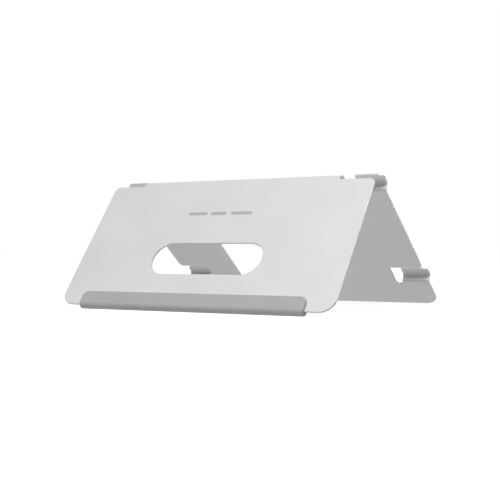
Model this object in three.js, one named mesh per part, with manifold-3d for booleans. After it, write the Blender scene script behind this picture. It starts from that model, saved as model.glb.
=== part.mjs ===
// A folded sheet stand: one sheet of metal bent into an A-frame, with a soft strip along its front edge.
// Millimetres, +Z up, +X to the right. The stand leans back along +Y and rests on z = 0.
//
// Everything is drawn in the folded sheet's own axes and leaned as a whole at the end:
//   x  across the stand, zero in the middle
//   t  up the front panel, zero at its bottom edge
//   n  out of the front panel, zero on its outer face
// The rear panel stands at right angles to the front one, so it runs along -n.

import * as THREE from 'three';
import { mergeVertices } from 'three/addons/utils/BufferGeometryUtils.js';
import Module from 'manifold-3d';

const wasm = await Module();
wasm.setup();

// Driving dimensions.
const WIDTH = 250;
const SHEET = 1.5;
const LEAN = THREE.MathUtils.degToRad(52.43);
const GAP = 0.3;
const ARC_STEPS = 6;

const FRONT_LENGTH = 132.8;
const SHOULDER_LENGTH = 126;
const FOLD_RADIUS = 5.5;
const TONGUE_WIDTH = 189;
const RELIEF_WIDTH = 5.6;
const RELIEF_DEPTH = 2.5;

const FRONT_BOTTOM_CORNER = 12;
const SHOULDER_CORNER = 4.5;
const REAR_BOTTOM_CORNER = 12;
const CUT_CORNER = 4.5;
const RELIEF_CORNER = 2.2;

const GRIP_LENGTH = 102.2;
const GRIP_HEIGHT = 31;
const GRIP_MIDDLE = 47.2;

const WINDOW_LEFT = -62.5;
const WINDOW_RIGHT = 12.5;
const WINDOW_TOP = 52;
const WINDOW_BOTTOM = 152;
const WINDOW_CORNER = 10;

const UPPER_BEND = 22.5;
const UPPER_TIP = 10;
const LOWER_BEND = 144.9;
const LOWER_TIP = 133.5;
const SIDE_CUT = 123.7;
const HOOK_FIRST_RADIUS = 0.5;
const HOOK_STEP = 1.5;
const HOOK_SECOND_RADIUS = 3;
const HOOK_CORNER = 5;

const STRIP_LENGTH = 205;
const STRIP_HEIGHT = 11.45;
const STRIP_ROUND = 3.7;
const STRIP_ROUND_MIDDLE = 0.5;
const STRIP_TOP_CORNER = 5.5;
const STRIP_BOTTOM_CORNER = 2;

// Dimensions worked out from them.
const HALF_WIDTH = WIDTH / 2;
const HALF_TONGUE = TONGUE_WIDTH / 2;
const HOOK_INSIDE = HALF_TONGUE + RELIEF_WIDTH;
const FOLD_START = FRONT_LENGTH - FOLD_RADIUS;
const REAR_INNER_FACE = FRONT_LENGTH - SHEET;
const STRIP_BOTTOM = STRIP_ROUND_MIDDLE - STRIP_ROUND;

// The rear panel ends where its lower inner edge meets the plane that the strip stands on.
const STRIP_CENTRE_HEIGHT = STRIP_ROUND_MIDDLE * Math.sin(LEAN) - (SHEET / 2) * Math.cos(LEAN);
const GROUND = STRIP_CENTRE_HEIGHT - STRIP_ROUND;
const REAR_LENGTH = (REAR_INNER_FACE * Math.sin(LEAN) - GROUND) / Math.cos(LEAN);

const X_AXIS = new THREE.Vector3(1, 0, 0);
const T_AXIS = new THREE.Vector3(0, 1, 0);
const N_AXIS = new THREE.Vector3(0, 0, 1);

function metal() {
  return new THREE.MeshStandardMaterial({ color: 0xd9dadc, roughness: 0.45, metalness: 0.6 });
}

function rubber() {
  return new THREE.MeshStandardMaterial({ color: 0xa3a4a6, roughness: 0.8, metalness: 0 });
}

// A closed outline through corners given as [x, y, radius]. A radius of zero leaves the corner sharp.
function roundedShape(corners) {
  const shape = new THREE.Shape();
  const points = corners.map(([x, y]) => new THREE.Vector2(x, y));
  const count = points.length;
  corners.forEach(([x, y, radius], index) => {
    if (radius === 0 && index === 0) {
      shape.moveTo(x, y);
      return;
    }
    if (radius === 0) {
      shape.lineTo(x, y);
      return;
    }
    const back = points[(index + count - 1) % count].clone().sub(points[index]).normalize();
    const ahead = points[(index + 1) % count].clone().sub(points[index]).normalize();
    const halfAngle = Math.acos(back.dot(ahead)) / 2;
    const setback = radius / Math.tan(halfAngle);
    const bisector = back.clone().add(ahead).normalize();
    const centre = points[index].clone().addScaledVector(bisector, radius / Math.sin(halfAngle));
    const start = points[index].clone().addScaledVector(back, setback);
    const end = points[index].clone().addScaledVector(ahead, setback);
    const startAngle = start.clone().sub(centre).angle();
    const endAngle = end.clone().sub(centre).angle();
    if (index > 0) {
      shape.lineTo(start.x, start.y);
    }
    shape.absarc(centre.x, centre.y, radius, startAngle, endAngle, back.cross(ahead) > 0);
  });
  return shape;
}

function extrude(shape, depth) {
  return new THREE.ExtrudeGeometry(shape, { depth, bevelEnabled: false, curveSegments: ARC_STEPS });
}

// A plate drawn in (x, t), between two levels of n.
function frontPlate(shape, lowN, highN) {
  return extrude(shape, highN - lowN).translate(0, 0, lowN);
}

// A plate drawn in (x, n), between two levels of t.
function rearPlate(shape, lowT, highT) {
  const turn = new THREE.Matrix4().makeRotationX(Math.PI / 2);
  return extrude(shape, highT - lowT).applyMatrix4(turn).translate(0, highT, 0);
}

// A bar whose section is drawn in (t, n), between two levels of x.
function crossBar(section, lowX, highX) {
  const turn = new THREE.Matrix4().makeBasis(T_AXIS, N_AXIS, X_AXIS);
  return extrude(section, highX - lowX).applyMatrix4(turn).translate(lowX, 0, 0);
}

function toSolid(geometry) {
  const bare = geometry.clone();
  bare.deleteAttribute('normal');
  bare.deleteAttribute('uv');
  const merged = mergeVertices(bare, 1e-4);
  const vertProperties = new Float32Array(merged.attributes.position.array);
  const triVerts = new Uint32Array(merged.index.array);
  return new wasm.Manifold(new wasm.Mesh({ numProp: 3, vertProperties, triVerts }));
}

function toGeometry(solid) {
  const mesh = solid.getMesh();
  const geometry = new THREE.BufferGeometry();
  geometry.setAttribute('position', new THREE.BufferAttribute(new Float32Array(mesh.vertProperties), 3));
  geometry.setIndex(new THREE.BufferAttribute(new Uint32Array(mesh.triVerts), 1));
  geometry.computeVertexNormals();
  return geometry;
}

// What two geometries have in common.
function common(first, second) {
  return toGeometry(toSolid(first).intersect(toSolid(second)));
}

function named(name, geometry, material) {
  const mesh = new THREE.Mesh(geometry, material);
  mesh.name = name;
  return mesh;
}

// A slot with half-round ends, lying along x.
function gripSlot() {
  const radius = GRIP_HEIGHT / 2;
  const reach = GRIP_LENGTH / 2 - radius;
  const slot = new THREE.Path();
  slot.absarc(reach, GRIP_MIDDLE, radius, -Math.PI / 2, Math.PI / 2, false);
  slot.absarc(-reach, GRIP_MIDDLE, radius, Math.PI / 2, 1.5 * Math.PI, false);
  return slot;
}

// The front panel: two shoulders and, between them, the tongue that carries on into the apex fold.
function frontPanel() {
  const tongueEnd = FOLD_START - GAP;
  const outline = roundedShape([
    [-HALF_WIDTH, 0, FRONT_BOTTOM_CORNER],
    [HALF_WIDTH, 0, FRONT_BOTTOM_CORNER],
    [HALF_WIDTH, SHOULDER_LENGTH, SHOULDER_CORNER],
    [HALF_TONGUE, SHOULDER_LENGTH, 0],
    [HALF_TONGUE, tongueEnd, 0],
    [-HALF_TONGUE, tongueEnd, 0],
    [-HALF_TONGUE, SHOULDER_LENGTH, 0],
    [-HALF_WIDTH, SHOULDER_LENGTH, SHOULDER_CORNER],
  ]);
  outline.holes.push(gripSlot());
  return named('front_panel', frontPlate(outline, -SHEET, 0), metal());
}

// A quarter turn of the sheet between the two panels.
function apexFold() {
  const section = new THREE.Shape();
  section.absarc(FOLD_START, -FOLD_RADIUS, FOLD_RADIUS, Math.PI / 2, 0, true);
  section.absarc(FOLD_START, -FOLD_RADIUS, FOLD_RADIUS - SHEET, 0, Math.PI / 2, false);
  return named('apex_fold', crossBar(section, -HALF_TONGUE, HALF_TONGUE), metal());
}

// The rear panel, drawn from its right-hand half and mirrored. Its hooks start at the two bends.
function rearPanel() {
  const rightHalf = [
    [HALF_TONGUE, -FOLD_RADIUS - GAP, 0],
    [HALF_TONGUE, -UPPER_BEND - RELIEF_DEPTH, RELIEF_CORNER],
    [HOOK_INSIDE, -UPPER_BEND - RELIEF_DEPTH, RELIEF_CORNER],
    [HOOK_INSIDE, -UPPER_BEND - GAP, 0],
    [HALF_WIDTH, -UPPER_BEND - GAP, 0],
    [HALF_WIDTH, -SIDE_CUT, CUT_CORNER],
    [HALF_TONGUE, -SIDE_CUT, 0],
    [HALF_TONGUE, -LOWER_BEND - RELIEF_DEPTH, RELIEF_CORNER],
    [HOOK_INSIDE, -LOWER_BEND - RELIEF_DEPTH, RELIEF_CORNER],
    [HOOK_INSIDE, -LOWER_BEND - GAP, 0],
    [HALF_WIDTH, -LOWER_BEND - GAP, 0],
    [HALF_WIDTH, -REAR_LENGTH, REAR_BOTTOM_CORNER],
  ];
  const leftHalf = rightHalf.map(([x, n, radius]) => [-x, n, radius]).reverse();
  const outline = roundedShape([...rightHalf, ...leftHalf]);
  outline.holes.push(roundedShape([
    [WINDOW_LEFT, -WINDOW_BOTTOM, WINDOW_CORNER],
    [WINDOW_RIGHT, -WINDOW_BOTTOM, WINDOW_CORNER],
    [WINDOW_RIGHT, -WINDOW_TOP, WINDOW_CORNER],
    [WINDOW_LEFT, -WINDOW_TOP, WINDOW_CORNER],
  ]));
  return named('rear_panel', rearPlate(outline, REAR_INNER_FACE, FRONT_LENGTH), metal());
}

// A hook tab steps out from the rear panel at its bend, turns back and runs up beside the sheet.
function hook(name, side, bend, tip) {
  const firstOuter = HOOK_FIRST_RADIUS + SHEET;
  const secondOuter = HOOK_SECOND_RADIUS + SHEET;
  const firstT = FRONT_LENGTH + HOOK_FIRST_RADIUS;
  const secondT = firstT + HOOK_STEP;
  const secondN = firstOuter + HOOK_SECOND_RADIUS - bend;
  const section = new THREE.Shape();
  section.absarc(firstT, -bend, firstOuter, Math.PI, Math.PI / 2, true);
  section.absarc(secondT, secondN, HOOK_SECOND_RADIUS, 1.5 * Math.PI, 2 * Math.PI, false);
  section.lineTo(secondT + HOOK_SECOND_RADIUS, -tip);
  section.lineTo(secondT + secondOuter, -tip);
  section.absarc(secondT, secondN, secondOuter, 0, -Math.PI / 2, true);
  section.absarc(firstT, -bend, HOOK_FIRST_RADIUS, Math.PI / 2, Math.PI, false);
  const outline = roundedShape([
    [side * HOOK_INSIDE, -tip, 0],
    [side * HOOK_INSIDE, -bend - firstOuter, 0],
    [side * HALF_WIDTH, -bend - firstOuter, 0],
    [side * HALF_WIDTH, -tip, HOOK_CORNER],
  ]);
  const bar = crossBar(section, -HALF_WIDTH, HALF_WIDTH);
  const tab = rearPlate(outline, REAR_INNER_FACE - SHEET, secondT + 2 * secondOuter);
  return named(name, common(bar, tab), metal());
}

// The soft strip: a U-section with a half-round bottom, pushed over the front panel's bottom edge.
function edgeStrip() {
  const middle = -SHEET / 2;
  const slot = SHEET / 2 + GAP;
  const section = new THREE.Shape();
  section.moveTo(STRIP_HEIGHT, middle + STRIP_ROUND);
  section.absarc(STRIP_ROUND_MIDDLE, middle, STRIP_ROUND, Math.PI / 2, 1.5 * Math.PI, false);
  section.lineTo(STRIP_HEIGHT, middle - STRIP_ROUND);
  section.lineTo(STRIP_HEIGHT, middle - slot);
  section.lineTo(-GAP, middle - slot);
  section.lineTo(-GAP, middle + slot);
  section.lineTo(STRIP_HEIGHT, middle + slot);
  const outline = roundedShape([
    [-STRIP_LENGTH / 2, STRIP_BOTTOM, STRIP_BOTTOM_CORNER],
    [STRIP_LENGTH / 2, STRIP_BOTTOM, STRIP_BOTTOM_CORNER],
    [STRIP_LENGTH / 2, STRIP_HEIGHT, STRIP_TOP_CORNER],
    [-STRIP_LENGTH / 2, STRIP_HEIGHT, STRIP_TOP_CORNER],
  ]);
  const bar = crossBar(section, -HALF_WIDTH, HALF_WIDTH);
  const plate = frontPlate(outline, -2 * STRIP_ROUND, 2 * STRIP_ROUND);
  return named('edge_strip', common(bar, plate), rubber());
}

const folded = new THREE.Group();
folded.add(frontPanel());
folded.add(apexFold());
folded.add(rearPanel());
folded.add(hook('hook_upper_left', -1, UPPER_BEND, UPPER_TIP));
folded.add(hook('hook_upper_right', 1, UPPER_BEND, UPPER_TIP));
folded.add(hook('hook_lower_left', -1, LOWER_BEND, LOWER_TIP));
folded.add(hook('hook_lower_right', 1, LOWER_BEND, LOWER_TIP));
folded.add(edgeStrip());
folded.rotation.x = LEAN;

// The origin is the middle of the stand's box, on the plane it stands on.
const box = new THREE.Box3().setFromObject(folded, true);
const middle = box.getCenter(new THREE.Vector3());
folded.position.set(-middle.x, -middle.y, -box.min.z);

const stand = new THREE.Group();
stand.add(folded);

export default stand;
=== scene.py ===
"""A folded sheet stand: a bent sheet of satin metal, a soft strip and a printed mark.

Everything is drawn in the sheet's own axes, in metres, and then leaned back as a whole:
  x  across the stand
  t  up the front panel, zero at its bottom edge
  n  out of the front panel, zero on its outer face
The sheet is made flat first, in (x, s, w): s runs up the front panel, over the fold and down the
rear panel along the middle of the sheet, and w is the height over that middle, positive outwards.
Then it is bent along its fold and its four hooks.
"""

import math

import bmesh
import bpy
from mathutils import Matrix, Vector


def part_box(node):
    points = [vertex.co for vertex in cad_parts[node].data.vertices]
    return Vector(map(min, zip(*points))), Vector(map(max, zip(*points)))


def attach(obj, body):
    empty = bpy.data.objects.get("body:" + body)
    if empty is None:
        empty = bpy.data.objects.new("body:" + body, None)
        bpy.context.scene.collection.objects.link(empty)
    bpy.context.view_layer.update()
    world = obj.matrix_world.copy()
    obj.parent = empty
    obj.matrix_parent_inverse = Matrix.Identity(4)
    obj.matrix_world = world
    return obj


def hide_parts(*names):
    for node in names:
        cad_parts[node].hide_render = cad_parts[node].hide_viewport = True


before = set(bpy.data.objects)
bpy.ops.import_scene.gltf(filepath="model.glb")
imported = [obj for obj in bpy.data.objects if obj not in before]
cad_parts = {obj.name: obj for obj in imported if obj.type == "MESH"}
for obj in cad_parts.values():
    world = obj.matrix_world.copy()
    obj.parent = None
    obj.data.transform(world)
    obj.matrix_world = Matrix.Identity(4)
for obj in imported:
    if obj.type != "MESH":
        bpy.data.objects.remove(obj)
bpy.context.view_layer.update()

MM = 0.001
QUARTER = math.pi / 2

# What the CAD nodes say: the widths, and where the front panel's bottom edge is.
PANEL_LOW, PANEL_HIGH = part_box("front_panel")
FOLD_LOW, FOLD_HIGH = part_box("apex_fold")
HOOK_LOW, HOOK_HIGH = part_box("hook_upper_right")
STRIP_LOW, STRIP_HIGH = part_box("edge_strip")
HALF_WIDTH = PANEL_HIGH.x
HALF_TONGUE = FOLD_HIGH.x
HOOK_INSIDE = HOOK_LOW.x
HALF_STRIP = STRIP_HIGH.x

# The sheet.
LEAN = math.radians(52.43)
SHEET = 1.5 * MM
HALF_SHEET = SHEET / 2
FRONT_LENGTH = 132.8 * MM
SHOULDER_LENGTH = 126 * MM
FOLD_RADIUS = 5.5 * MM
UPPER_BEND = 22.5 * MM
UPPER_TIP = 10 * MM
LOWER_BEND = 144.9 * MM
LOWER_TIP = 133.5 * MM
SIDE_CUT = 123.7 * MM
RELIEF_DEPTH = 2.5 * MM
HOOK_FIRST_RADIUS = 0.5 * MM
HOOK_STEP = 1.5 * MM
HOOK_SECOND_RADIUS = 3 * MM
EDGE_RADIUS = 0.22 * MM

# The rounded corners of its outline, outer ones first, then the one where two cuts meet inside.
PANEL_CORNER = 12 * MM
SHOULDER_CORNER = 4.5 * MM
CUT_CORNER = 4.5 * MM
HOOK_CORNER = 5 * MM
INNER_CORNER = 0.8 * MM

# Its two holes: the grip slot in (x, s), and the window in (x, depth down the rear panel).
GRIP_HALF_LENGTH = 51.1 * MM
GRIP_LOW = 31.7 * MM
GRIP_HIGH = 62.7 * MM
WINDOW_LEFT = -62.5 * MM
WINDOW_RIGHT = 12.5 * MM
WINDOW_TOP = 52 * MM
WINDOW_BOTTOM = 152 * MM
WINDOW_CORNER = 10 * MM

# The origin of (t, n) in the frame, and the rear panel's length, which ends on the floor.
ORIGIN_Y = PANEL_LOW.y
ORIGIN_Z = PANEL_LOW.z + SHEET * math.cos(LEAN)
REAR_INNER_FACE = FRONT_LENGTH - SHEET
REAR_LENGTH = (ORIGIN_Z + REAR_INNER_FACE * math.sin(LEAN)) / math.cos(LEAN)

# Lengths along the middle of the flat sheet.
FOLD_MIDDLE_RADIUS = FOLD_RADIUS - HALF_SHEET
FOLD_START = FRONT_LENGTH - FOLD_RADIUS
FOLD_END = FOLD_START + QUARTER * FOLD_MIDDLE_RADIUS
HOOK_FIRST_MIDDLE = HOOK_FIRST_RADIUS + HALF_SHEET
HOOK_SECOND_MIDDLE = HOOK_SECOND_RADIUS + HALF_SHEET
HOOK_FIRST_ARC = QUARTER * HOOK_FIRST_MIDDLE
HOOK_SECOND_ARC = QUARTER * HOOK_SECOND_MIDDLE
HOOKS = ((UPPER_BEND, UPPER_TIP), (LOWER_BEND, LOWER_TIP))


def rear_s(depth):
    """Where a line of the rear panel, at a depth below the front face, is on the flat sheet."""
    return FOLD_END + depth - FOLD_RADIUS


def hook_length(bend, tip):
    """How long a hook tab is along the middle of the sheet, from its bend line to its tip."""
    straight = bend - tip - HOOK_FIRST_MIDDLE - HOOK_SECOND_MIDDLE
    return HOOK_FIRST_ARC + HOOK_STEP + HOOK_SECOND_ARC + straight


def rounded(corners, steps=10):
    """Points of a closed outline through corners (x, y, radius), with an arc at each corner."""
    points = []
    count = len(corners)
    for index, (x, y, radius) in enumerate(corners):
        corner = Vector((x, y))
        back = (Vector(corners[index - 1][:2]) - corner).normalized()
        ahead = (Vector(corners[(index + 1) % count][:2]) - corner).normalized()
        half = math.acos(max(-1, min(1, back.dot(ahead)))) / 2
        centre = corner + (back + ahead).normalized() * (radius / math.sin(half))
        start = corner + back * (radius / math.tan(half)) - centre
        turn = math.pi - 2 * half
        if back.cross(ahead) > 0:
            turn = -turn
        for step in range(steps + 1):
            angle = turn * step / steps
            swung = Vector((
                start.x * math.cos(angle) - start.y * math.sin(angle),
                start.x * math.sin(angle) + start.y * math.cos(angle),
            ))
            points.append(centre + swung)
    return tidy(points)


def tidy(points, least=0.02 * MM):
    """The same outline without points that lie on each other."""
    kept = []
    for point in points:
        if not kept or (point - kept[-1]).length > least:
            kept.append(point)
    if (kept[0] - kept[-1]).length <= least:
        kept.pop()
    return kept


def sheet_outline():
    round_end = 0.99 * (HOOK_INSIDE - HALF_TONGUE) / 2
    upper_slot = rear_s(UPPER_BEND) + RELIEF_DEPTH
    lower_slot = rear_s(LOWER_BEND) + RELIEF_DEPTH
    upper_tip = rear_s(UPPER_BEND) - hook_length(UPPER_BEND, UPPER_TIP)
    lower_tip = rear_s(LOWER_BEND) - hook_length(LOWER_BEND, LOWER_TIP)
    right = [
        (HALF_WIDTH, 0, PANEL_CORNER),
        (HALF_WIDTH, SHOULDER_LENGTH, SHOULDER_CORNER),
        (HALF_TONGUE, SHOULDER_LENGTH, INNER_CORNER),
        (HALF_TONGUE, upper_slot, round_end),
        (HOOK_INSIDE, upper_slot, round_end),
        (HOOK_INSIDE, upper_tip, INNER_CORNER),
        (HALF_WIDTH, upper_tip, HOOK_CORNER),
        (HALF_WIDTH, rear_s(SIDE_CUT), CUT_CORNER),
        (HALF_TONGUE, rear_s(SIDE_CUT), INNER_CORNER),
        (HALF_TONGUE, lower_slot, round_end),
        (HOOK_INSIDE, lower_slot, round_end),
        (HOOK_INSIDE, lower_tip, INNER_CORNER),
        (HALF_WIDTH, lower_tip, HOOK_CORNER),
        (HALF_WIDTH, rear_s(REAR_LENGTH), PANEL_CORNER),
    ]
    left = [(-x, s, radius) for x, s, radius in reversed(right)]
    return rounded(right + left)


def grip_outline():
    """The grip slot, whose ends are as good as half-round."""
    radius = 0.999 * (GRIP_HIGH - GRIP_LOW) / 2
    lower = [(-GRIP_HALF_LENGTH, GRIP_LOW), (GRIP_HALF_LENGTH, GRIP_LOW)]
    upper = [(GRIP_HALF_LENGTH, GRIP_HIGH), (-GRIP_HALF_LENGTH, GRIP_HIGH)]
    return rounded([(x, s, radius) for x, s in lower + upper], steps=24)


def window_outline():
    top = rear_s(WINDOW_TOP)
    bottom = rear_s(WINDOW_BOTTOM)
    upper = [(WINDOW_LEFT, top), (WINDOW_RIGHT, top)]
    lower = [(WINDOW_RIGHT, bottom), (WINDOW_LEFT, bottom)]
    return rounded([(x, s, WINDOW_CORNER) for x, s in upper + lower])


def offset(points, distance):
    """The outline moved to its left by a distance, which is into the metal for every loop here."""
    moved = []
    count = len(points)
    for index in range(count):
        before = (points[index] - points[index - 1]).normalized()
        after = (points[(index + 1) % count] - points[index]).normalized()
        across = (before + after).normalized()
        normal = Vector((-across.y, across.x))
        stretch = 1 / max(0.5, normal.dot(Vector((-before.y, before.x))))
        moved.append(points[index] + normal * distance * stretch)
    return moved


def rim_profile(half, radius, steps=4):
    """(inset, height) pairs down a cut edge with both corners eased."""
    profile = []
    for step in range(steps + 1):
        angle = QUARTER * step / steps
        profile.append((radius * (1 - math.sin(angle)), half - radius * (1 - math.cos(angle))))
    return profile + [(inset, -height) for inset, height in reversed(profile)]


def flat_plate(loops, half, radius):
    """A plate with eased edges. The outer loop runs anticlockwise and the holes clockwise."""
    plate = bmesh.new()
    rim_layer = plate.verts.layers.float.new("rim")
    caps = {half: [], -half: []}
    for loop in loops:
        rings = []
        for inset, height in rim_profile(half, radius):
            ring = [plate.verts.new((p.x, p.y, height)) for p in offset(loop, inset)]
            for vert in ring:
                vert[rim_layer] = 1 - inset / radius
            rings.append(ring)
        count = len(loop)
        for upper, lower in zip(rings, rings[1:]):
            for i in range(count):
                j = (i + 1) % count
                plate.faces.new((upper[i], lower[i], lower[j], upper[j]))
        for height, ring in ((half, rings[0]), (-half, rings[-1])):
            for i in range(count):
                edge = plate.edges.get((ring[i], ring[(i + 1) % count]))
                caps[height].append(edge)
    for height, edges in caps.items():
        up = Vector((0, 0, math.copysign(1, height)))
        bmesh.ops.triangle_fill(plate, use_beauty=True, use_dissolve=False, edges=edges, normal=up)
    bmesh.ops.recalc_face_normals(plate, faces=plate.faces[:])
    return plate


def cut_rows(plate, rows):
    """Cuts the plate across at each s, so that it can bend there."""
    for s in rows:
        geometry = plate.verts[:] + plate.edges[:] + plate.faces[:]
        bmesh.ops.bisect_plane(
            plate, geom=geometry, dist=1e-7, plane_co=(0, s, 0), plane_no=(0, 1, 0)
        )


def spread(start, length, steps):
    return [start + length * step / steps for step in range(steps + 1)]


def bend_rows():
    rows = spread(FOLD_START, FOLD_END - FOLD_START, 16)
    for bend, tip in HOOKS:
        first = rear_s(bend)
        second = first - HOOK_FIRST_ARC - HOOK_STEP
        rows += spread(first, -HOOK_FIRST_ARC, 8) + spread(second, -HOOK_SECOND_ARC, 14)
    return rows


def bend_sheet(s, w):
    """(t, n) of a point of the sheet that follows the main fold."""
    if s <= FOLD_START:
        return s, w - HALF_SHEET
    if s >= FOLD_END:
        return FRONT_LENGTH - HALF_SHEET + w, -FOLD_RADIUS - (s - FOLD_END)
    angle = (s - FOLD_START) / FOLD_MIDDLE_RADIUS
    reach = FOLD_MIDDLE_RADIUS + w
    return FOLD_START + reach * math.sin(angle), -FOLD_RADIUS + reach * math.cos(angle)


def bend_hook(u, w, bend):
    """(t, n) of a point of a hook tab, u along it from its bend line."""
    first_t = FRONT_LENGTH + HOOK_FIRST_RADIUS
    second_t = first_t + HOOK_STEP
    second_n = HOOK_FIRST_MIDDLE + HOOK_SECOND_MIDDLE - bend
    if u <= HOOK_FIRST_ARC:
        angle = u / HOOK_FIRST_MIDDLE
        reach = HOOK_FIRST_MIDDLE - w
        return first_t - reach * math.cos(angle), -bend + reach * math.sin(angle)
    u -= HOOK_FIRST_ARC
    if u <= HOOK_STEP:
        return first_t + u, HOOK_FIRST_MIDDLE - w - bend
    u -= HOOK_STEP
    reach = HOOK_SECOND_MIDDLE + w
    if u <= HOOK_SECOND_ARC:
        angle = u / HOOK_SECOND_MIDDLE
        return second_t + reach * math.sin(angle), second_n - reach * math.cos(angle)
    return second_t + reach, second_n + u - HOOK_SECOND_ARC


def folded_point(x, s, w):
    """(x, t, n) of a point of the flat sheet once it is bent."""
    slot_middle = (HALF_TONGUE + HOOK_INSIDE) / 2
    if abs(x) > slot_middle:
        for bend, tip in HOOKS:
            u = rear_s(bend) - s
            if 0 <= u <= hook_length(bend, tip) + MM:
                return (x, *bend_hook(u, w, bend))
    return (x, *bend_sheet(s, w))


def leaned(x, t, n):
    """The place in the frame of a point given in the sheet's own axes."""
    y = ORIGIN_Y + t * math.cos(LEAN) - n * math.sin(LEAN)
    z = ORIGIN_Z + t * math.sin(LEAN) + n * math.cos(LEAN)
    return Vector((x, y, z))


def add_object(name, mesh, material):
    piece = bpy.data.objects.new(name, mesh)
    bpy.context.scene.collection.objects.link(piece)
    mesh.materials.append(material)
    return piece


def even_shading(piece):
    """Smooth shading in which the large flat faces stay flat."""
    piece.data.shade_smooth()
    modifier = piece.modifiers.new("even", "WEIGHTED_NORMAL")
    modifier.mode = "FACE_AREA"
    modifier.weight = 50
    graph = bpy.context.evaluated_depsgraph_get()
    finished = bpy.data.meshes.new_from_object(piece.evaluated_get(graph))
    piece.modifiers.clear()
    piece.data = finished


def make_sheet(material):
    loops = [sheet_outline(), grip_outline()[::-1], window_outline()[::-1]]
    plate = flat_plate(loops, HALF_SHEET, EDGE_RADIUS)
    cut_rows(plate, bend_rows())
    flat_layer = plate.verts.layers.float_vector.new("flat")
    for vert in plate.verts:
        vert[flat_layer] = vert.co
        vert.co = leaned(*folded_point(*vert.co))
    bmesh.ops.recalc_face_normals(plate, faces=plate.faces[:])
    mesh = bpy.data.meshes.new("folded_sheet")
    plate.to_mesh(mesh)
    plate.free()
    piece = add_object("folded_sheet", mesh, material)
    even_shading(piece)
    return piece


# The strip.
STRIP_HEIGHT = 11.45 * MM
STRIP_WALL_REACH = 3.7 * MM
STRIP_ROUND_MIDDLE = 0.5 * MM
STRIP_DROP = 3.7 * MM
STRIP_CLEARANCE = 0.04 * MM
STRIP_TOP_CORNER = 5.5 * MM
STRIP_BOTTOM_CORNER = 2 * MM
STRIP_END_RADIUS = 0.6 * MM
STRIP_LIP_RADIUS = 0.7 * MM


def arc(centre_t, centre_n, radius_t, radius_n, start, end, steps):
    points = []
    for step in range(steps + 1):
        angle = start + (end - start) * step / steps
        t = centre_t + radius_t * math.cos(angle)
        n = centre_n + radius_n * math.sin(angle)
        points.append((t, n))
    return points


def strip_section(height, inset, drop):
    """The U-section's outline in (t, n), from the front wall's face round the bottom and back."""
    middle = -HALF_SHEET
    reach = STRIP_WALL_REACH - inset
    slot = HALF_SHEET + STRIP_CLEARANCE
    lip = STRIP_LIP_RADIUS
    tight = 0.25 * MM
    top = height - inset
    front = arc(top - lip, middle + reach - lip, lip, lip, 0, QUARTER, 6)
    bottom = arc(STRIP_ROUND_MIDDLE, middle, drop, reach, QUARTER, 3 * QUARTER, 24)
    back = arc(top - lip, middle - reach + lip, lip, lip, -QUARTER, 0, 6)
    inner_back = arc(top - tight, middle - slot - tight, tight, tight, 0, QUARTER, 3)
    floor = [(-STRIP_CLEARANCE, middle - slot), (-STRIP_CLEARANCE, middle + slot)]
    inner_front = arc(top - tight, middle + slot + tight, tight, tight, -QUARTER, 0, 3)
    return front + bottom + back + inner_back + floor + inner_front


def strip_stations():
    """(x, section) pairs along the strip, close together where its ends are rounded."""
    ends = []
    for step in range(19):
        angle = QUARTER * step / 18
        depth = STRIP_TOP_CORNER * (1 - math.cos(angle))
        height = STRIP_HEIGHT - STRIP_TOP_CORNER * (1 - math.sin(angle))
        inset = eased(depth, STRIP_END_RADIUS)
        drop = STRIP_DROP - eased(depth, STRIP_BOTTOM_CORNER)
        ends.append((HALF_STRIP - depth, strip_section(height, inset, drop)))
    return [(-x, section) for x, section in ends] + ends[::-1]


def eased(depth, radius):
    """How far a rounded end has drawn in, at a depth from its tip."""
    left = max(0, radius - depth)
    return radius - math.sqrt(radius * radius - left * left)


def make_strip(material):
    strip = bmesh.new()
    rings = []
    for x, section in strip_stations():
        rings.append([strip.verts.new(leaned(x, t, n)) for t, n in section])
    count = len(rings[0])
    for near, far in zip(rings, rings[1:]):
        for i in range(count):
            j = (i + 1) % count
            strip.faces.new((near[i], near[j], far[j], far[i]))
    caps = [strip.faces.new(rings[0]), strip.faces.new(rings[-1])]
    bmesh.ops.triangulate(strip, faces=caps, ngon_method="EAR_CLIP")
    bmesh.ops.recalc_face_normals(strip, faces=strip.faces[:])
    mesh = bpy.data.meshes.new("soft_strip")
    strip.to_mesh(mesh)
    strip.free()
    piece = add_object("soft_strip", mesh, material)
    even_shading(piece)
    return piece


# The printed mark: three plain bars.
BAR_MIDDLE = 93.4 * MM
BAR_HEIGHT = 3 * MM
BAR_FILM = 0.03 * MM
BARS = {
    "print_bar_left": (-34, -16.2),
    "print_bar_middle": (-12.8, 1.7),
    "print_bar_right": (6.8, 26.3),
}


def make_bar(name, left, right, material):
    low = BAR_MIDDLE - BAR_HEIGHT / 2
    high = BAR_MIDDLE + BAR_HEIGHT / 2
    corners = [(left, low), (right, low), (right, high), (left, high)]
    outline = rounded([(x, t, 0.3 * MM) for x, t in corners], steps=6)
    bar = flat_plate([outline], BAR_FILM / 2, BAR_FILM / 3)
    for vert in bar.verts:
        x, t, w = vert.co
        vert.co = leaned(x, t, w + 0.6 * BAR_FILM)
    mesh = bpy.data.meshes.new(name)
    bar.to_mesh(mesh)
    bar.free()
    piece = add_object(name, mesh, material)
    even_shading(piece)
    return piece


# A Mix node has a pair of inputs for every kind of data: these are the sockets of its colours.
MIX_FIRST = 6
MIX_SECOND = 7
MIX_RESULT = 2


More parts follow.
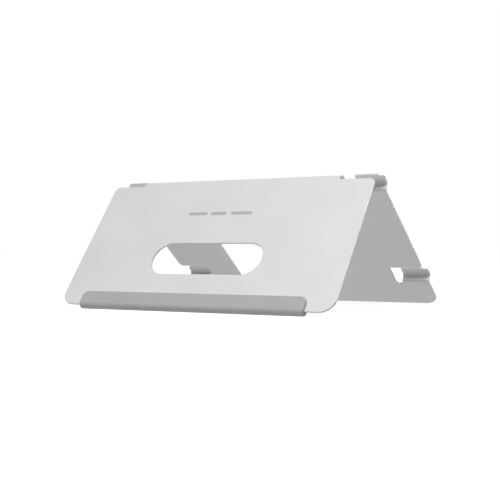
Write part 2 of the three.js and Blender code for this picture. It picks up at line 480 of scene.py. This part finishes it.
class Nodes:
    """A short way to build one material's node tree."""

    def __init__(self, name):
        self.material = bpy.data.materials.new(name)
        self.material.use_nodes = True
        self.tree = self.material.node_tree
        self.shader = self.tree.nodes["Principled BSDF"]

    def add(self, kind, settings=None, **inputs):
        node = self.tree.nodes.new(kind)
        for name, value in (settings or {}).items():
            setattr(node, name, value)
        for name, value in inputs.items():
            self.feed(node, name.replace("_", " "), value)
        return node

    def feed(self, node, socket_key, value):
        socket = node.inputs[socket_key]
        if isinstance(value, bpy.types.NodeSocket):
            self.tree.links.new(value, socket)
        else:
            socket.default_value = value

    def noise(self, vector, scale, detail=2.0, roughness=0.5):
        node = self.add("ShaderNodeTexNoise", Vector=vector, Scale=scale, Detail=detail)
        node.inputs["Roughness"].default_value = roughness
        return node.outputs["Fac"]

    def ramp(self, noise, low, high):
        """A noise, most of which lies between 0.3 and 0.7, stretched to low..high."""
        limits = {"From Min": 0.3, "From Max": 0.7, "To Min": low, "To Max": high}
        node = self.add("ShaderNodeMapRange", Value=noise)
        for name, number in limits.items():
            node.inputs[name].default_value = number
        return node.outputs["Result"]

    def colour(self, factor, first, second):
        """A mix of two colours, of which the first may come from another node."""
        node = self.add("ShaderNodeMix", {"data_type": "RGBA"})
        self.tree.links.new(factor, node.inputs["Factor"])
        self.feed(node, MIX_FIRST, first)
        self.feed(node, MIX_SECOND, second)
        return node.outputs[MIX_RESULT]

    def bump(self, height, strength, distance):
        node = self.add("ShaderNodeBump", Height=height, Strength=strength, Distance=distance)
        return node.outputs["Normal"]

    def set(self, **values):
        for name, value in values.items():
            self.feed(self.shader, name.replace("_", " "), value)


def sheet_metal():
    """Fine blasted and anodised metal: a tight grain, faint clouding and a smoother cut edge,
    whose darker grey is painted shade.
    """
    nodes = Nodes("satin_sheet_metal")
    flat = nodes.add("ShaderNodeAttribute", {"attribute_name": "flat"}).outputs["Vector"]
    rim = nodes.add("ShaderNodeAttribute", {"attribute_name": "rim"}).outputs["Fac"]
    grain = nodes.noise(flat, 2600, detail=3)
    clouds = nodes.noise(flat, 22, detail=3)
    tone = nodes.ramp(clouds, 0.0, 1.0)
    face = nodes.colour(tone, (0.725, 0.726, 0.729, 1), (0.745, 0.746, 0.749, 1))
    # The cut edge is painted a darker grey (0.6 against about 0.73 on the faces): painted shade
    # along every rim.
    base = nodes.colour(rim, face, (0.6, 0.601, 0.604, 1))
    roughness = nodes.ramp(clouds, 0.56, 0.62)
    cut = nodes.add("ShaderNodeMapRange", Value=rim)
    nodes.tree.links.new(roughness, cut.inputs["To Min"])
    cut.inputs["To Max"].default_value = 0.45
    normal = nodes.bump(grain, 0.25, 0.02 * MM)
    nodes.set(Base_Color=base, Roughness=cut.outputs["Result"], Normal=normal, Metallic=0.4)
    return nodes.material


def strip_rubber():
    """Moulded silicone: matte, with a fine skin and faint handling marks."""
    nodes = Nodes("matte_strip_rubber")
    place = nodes.add("ShaderNodeTexCoord").outputs["Object"]
    skin = nodes.noise(place, 1800, detail=4)
    marks = nodes.noise(place, 60, detail=4, roughness=0.6)
    tone = nodes.ramp(marks, 0.0, 1.0)
    base = nodes.colour(tone, (0.361, 0.362, 0.365, 1), (0.387, 0.388, 0.39, 1))
    roughness = nodes.ramp(marks, 0.62, 0.74)
    normal = nodes.bump(skin, 0.3, 0.03 * MM)
    nodes.set(Base_Color=base, Roughness=roughness, Normal=normal)
    return nodes.material


def print_ink():
    """Screen print: grey, dry and very slightly uneven."""
    nodes = Nodes("dry_print_ink")
    place = nodes.add("ShaderNodeTexCoord").outputs["Object"]
    speckle = nodes.noise(place, 3200, detail=3)
    tone = nodes.ramp(speckle, 0.0, 1.0)
    base = nodes.colour(tone, (0.36, 0.36, 0.365, 1), (0.44, 0.44, 0.45, 1))
    roughness = nodes.ramp(speckle, 0.5, 0.68)
    normal = nodes.bump(speckle, 0.2, 0.01 * MM)
    nodes.set(Base_Color=base, Roughness=roughness, Normal=normal)
    return nodes.material


def floor_paint():
    nodes = Nodes("pale_floor")
    nodes.set(Base_Color=(0.5, 0.5, 0.5, 1), Roughness=0.8)
    nodes.set(Emission_Color=(1, 1, 1, 1), Emission_Strength=0.78)
    return nodes.material


FLOOR_REACH = 60


def make_floor():
    """The pale floor under the stand. The world holds the light that it would send up."""
    mesh = bpy.data.meshes.new("floor")
    reach = FLOOR_REACH
    corners = [(-reach, -reach, 0), (reach, -reach, 0), (reach, reach, 0), (-reach, reach, 0)]
    mesh.from_pydata(corners, [], [(0, 1, 2, 3)])
    floor = add_object("floor", mesh, floor_paint())
    floor.visible_diffuse = False
    floor.visible_glossy = False
    floor.visible_shadow = False


# The studio's soft disks: where each one is, the point it faces, its width and its power in watts.
LIGHTS = {
    "key": ((0.8, -0.8, 2.1), (0, 0, 0.05), 1.0, 37),
    "fill": ((0, -1.35, 0.1), (0, -0.1, 0.05), 0.4, 5.2),
    "edge": ((0.85, 1.35, 0.12), (0, 0, 0.05), 0.6, 5),
}


def make_light(name, place, target, size, power):
    data = bpy.data.lights.new(name, "AREA")
    data.shape = "DISK"
    data.size = size
    data.energy = power
    light = bpy.data.objects.new(name, data)
    bpy.context.scene.collection.objects.link(light)
    light.location = place
    light.rotation_euler = (Vector(target) - Vector(place)).to_track_quat("-Z", "Y").to_euler()


# How much light the room sends from each height: -1 is straight down, 0 level and 1 straight up.
ROOM = (
    (-1, 0.78), (-0.8, 0.78), (-0.4, 0.2), (-0.05, 0.08), (0.3, 0.08), (0.6, 0.5), (1, 0.5),
)


def make_world():
    """A room that the camera sees as full white. It lights the stand less, least from level."""
    world = bpy.data.worlds.new("studio")
    world.use_nodes = True
    tree = world.node_tree
    background = tree.nodes["Background"]
    place = tree.nodes.new("ShaderNodeTexCoord")
    split = tree.nodes.new("ShaderNodeSeparateXYZ")
    height = tree.nodes.new("ShaderNodeMapRange")
    height.inputs["From Min"].default_value = -1
    ramp = tree.nodes.new("ShaderNodeValToRGB")
    ramp.color_ramp.interpolation = "EASE"
    stops = ramp.color_ramp.elements
    for index, (level, light) in enumerate(ROOM):
        stop = stops[index] if index < 2 else stops.new((level + 1) / 2)
        stop.position = (level + 1) / 2
        stop.color = (light, light, light, 1)
    seen = tree.nodes.new("ShaderNodeLightPath")
    blend = tree.nodes.new("ShaderNodeMapRange")
    tree.links.new(place.outputs["Generated"], split.inputs["Vector"])
    tree.links.new(split.outputs["Z"], height.inputs["Value"])
    tree.links.new(height.outputs["Result"], ramp.inputs["Fac"])
    tree.links.new(ramp.outputs["Color"], blend.inputs["To Min"])
    tree.links.new(seen.outputs["Is Camera Ray"], blend.inputs["Value"])
    tree.links.new(blend.outputs["Result"], background.inputs["Strength"])
    background.inputs["Color"].default_value = (1, 1, 1, 1)
    bpy.context.scene.world = world


CAMERA_PLACE = (0.4337, -0.75325, 0.04785)
CAMERA_TURN = math.radians(30.282)
CAMERA_LENS = 72.7
SENSOR_WIDTH = 36


def make_camera():
    """A level camera, turned to the left, in front of the stand's right-hand side."""
    data = bpy.data.cameras.new("camera")
    data.sensor_width = SENSOR_WIDTH
    data.lens = CAMERA_LENS
    camera = bpy.data.objects.new("camera", data)
    bpy.context.scene.collection.objects.link(camera)
    camera.location = CAMERA_PLACE
    camera.rotation_euler = (QUARTER, 0, CAMERA_TURN)
    bpy.context.scene.camera = camera


def build_object():
    metal = sheet_metal()
    sheet = make_sheet(metal)
    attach(sheet, "root")
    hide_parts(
        "front_panel", "apex_fold", "rear_panel", "hook_upper_left", "hook_upper_right",
        "hook_lower_left", "hook_lower_right",
    )
    strip = make_strip(strip_rubber())
    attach(strip, "root")
    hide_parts("edge_strip")
    ink = print_ink()
    for name, (left, right) in BARS.items():
        bar = make_bar(name, left * MM, right * MM, ink)
        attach(bar, "root")


build_object()
make_floor()
make_world()
for light_name, light_settings in LIGHTS.items():
    make_light(light_name, *light_settings)
make_camera()
bpy.context.scene.view_settings.view_transform = "Standard"
